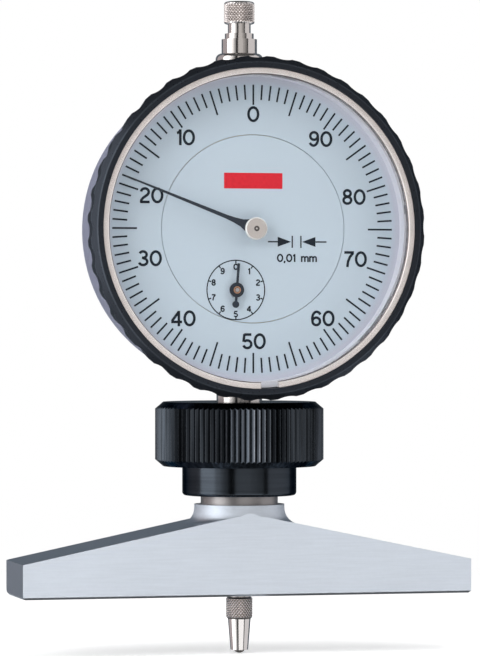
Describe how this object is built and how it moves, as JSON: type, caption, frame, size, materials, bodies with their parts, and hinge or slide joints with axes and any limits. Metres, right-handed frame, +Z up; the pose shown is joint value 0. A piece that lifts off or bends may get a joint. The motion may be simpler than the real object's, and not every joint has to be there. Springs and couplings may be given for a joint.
{
  "type": "dial depth gauge",
  "caption": "Dial depth gauge: a dial indicator with rack-and-gear movement, clamped by a knurled nut in a wide steel measuring base.",
  "frame": {"origin": "centre of the base's measuring face, on the spindle's axis", "axes": "+Z up along the spindle, away from the measured surface; the dial faces -Y; +X is to the reader's right along the base"},
  "size_m": [0.08, 0.0303, 0.114],
  "materials": {
    "base_steel": "fine ground",
    "steel": "turned",
    "nickel": "polished",
    "black_anodised": "black anodised",
    "case_metal": "satin",
    "bezel_black": "satin black",
    "ring_nickel": "satin nickel",
    "brass": "turned",
    "dial_paint": "matt pale blue-grey",
    "hand_blue": "dark blue-black",
    "crystal_clear": "clear",
    "spring_steel": "spring steel"
  },
  "bodies": {
    "gauge": {"measuring_base": "base_steel", "clamp_sleeve": "steel", "clamp_collet": "brass", "stem": "nickel", "stem_bush": "brass", "upper_bush": "nickel", "case": "case_metal", "back_cover": "case_metal", "cover_screws": "steel", "middle_plate": "brass", "plate_screws": "steel", "front_plate": "brass", "front_pillars": "brass", "front_plate_screws": "steel", "bridge_pillars": "brass", "rack_bridge": "brass", "bridge_screws": "steel", "hairspring": "spring_steel", "hairspring_stud": "steel", "guide_rail": "steel", "return_spring": "spring_steel", "spring_post": "steel", "dial_plate": "dial_paint", "bezel_spring": "spring_steel"},
    "spindle_group": {"spindle": "nickel", "guide_pin": "steel", "contact_point": "nickel", "contact_ball": "steel", "lifting_cap": "nickel"},
    "rack_pinion_group": {"rack_pinion": "steel", "first_wheel": "brass", "counter_hand": "hand_blue", "counter_hand_bush": "brass"},
    "centre_group": {"centre_pinion": "steel", "main_hand": "hand_blue", "hub_cap": "ring_nickel"},
    "take_up_group": {"take_up_arbor": "steel", "take_up_wheel": "brass"},
    "bezel_group": {"bezel": "bezel_black", "dial_ring": "dial_paint", "crystal": "crystal_clear", "crystal_ring": "ring_nickel"},
    "nut_group": {"clamp_nut": "black_anodised"}
  },
  "joints": [
    {"name": "spindle_travel", "type": "slide", "parent": "gauge", "child": "spindle_group", "axis": [0, 0, 1], "range_m": [0, 0.0106], "stiffness_N_per_m": 50, "springref_m": -0.01, "deforming": ["return_spring"]},
    {"name": "rack_pinion_spin", "type": "hinge", "parent": "gauge", "child": "rack_pinion_group", "pos_m": [-0.0031, 0, 0.05305], "axis": [0, -1, 0], "range_deg": [-1, 383]},
    {"name": "main_hand_spin", "type": "hinge", "parent": "gauge", "child": "centre_group", "pos_m": [0, 0, 0.0636], "axis": [0, -1, 0], "range_deg": [-3825, 5]},
    {"name": "take_up_spin", "type": "hinge", "parent": "gauge", "child": "take_up_group", "pos_m": [0.0031, 0, 0.07415], "axis": [0, -1, 0], "range_deg": [-1, 383]},
    {"name": "bezel_turn", "type": "hinge", "parent": "gauge", "child": "bezel_group", "pos_m": [0, 0, 0.0636], "axis": [0, -1, 0], "continuous": true},
    {"name": "clamp_nut_turn", "type": "hinge", "parent": "gauge", "child": "nut_group", "pos_m": [0, 0, 0.028], "axis": [0, 0, 1], "range_deg": [0, 180]}
  ],
  "couplings": [
    {"joint": "rack_pinion_spin", "follows": "spindle_travel", "rad_per_m": 628.33},
    {"joint": "main_hand_spin", "follows": "spindle_travel", "rad_per_m": -6283.3},
    {"joint": "take_up_spin", "follows": "spindle_travel", "rad_per_m": 628.33}
  ]
}
